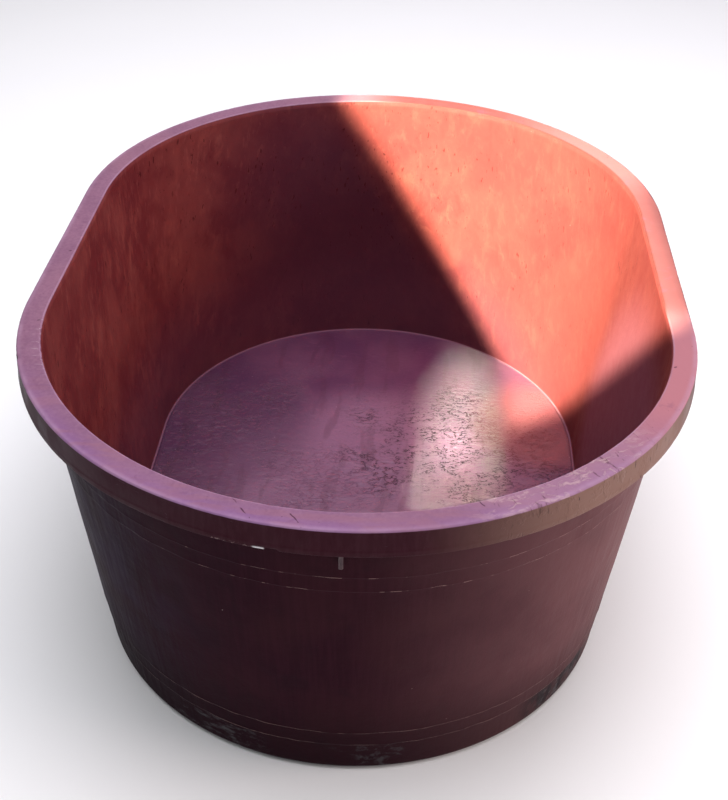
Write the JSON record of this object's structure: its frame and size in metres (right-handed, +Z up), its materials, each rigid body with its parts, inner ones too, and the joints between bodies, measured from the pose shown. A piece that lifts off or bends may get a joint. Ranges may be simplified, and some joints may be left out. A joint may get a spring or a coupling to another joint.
{
  "type": "mortar mixing tub",
  "caption": "Oval moulded-plastic mixing tub with a drafted wall, a flat rim with a turned-down skirt, and ribs under the rim for stacking.",
  "frame": {"origin": "centre of the flat underside, on the ground", "axes": "+Z up, +Y along the long axis of the oval, +X across it"},
  "size_m": [0.59, 0.758, 0.322],
  "materials": {
    "floor_plastic": "worn, finely wrinkled moulded polyethylene, dusty, with a broken sheen",
    "wall_plastic": "satin moulded polyethylene, dark red-brown, with brush marks and cement haze",
    "rim_plastic": "satin moulded polyethylene, scuffed, nicked and paler on its edges",
    "rib_plastic": "satin moulded polyethylene"
  },
  "bodies": {
    "root": {"floor": "floor_plastic", "foot_band": "wall_plastic", "lower_step_band": "wall_plastic", "side_wall": "wall_plastic", "upper_step_band": "wall_plastic", "collar": "wall_plastic", "rim_flange": "rim_plastic", "rim_skirt": "rim_plastic", "stacking_rib_front": "rib_plastic", "stacking_rib_back": "rib_plastic", "stacking_rib_left": "rib_plastic", "stacking_rib_right": "rib_plastic"}
  },
  "joints": []
}
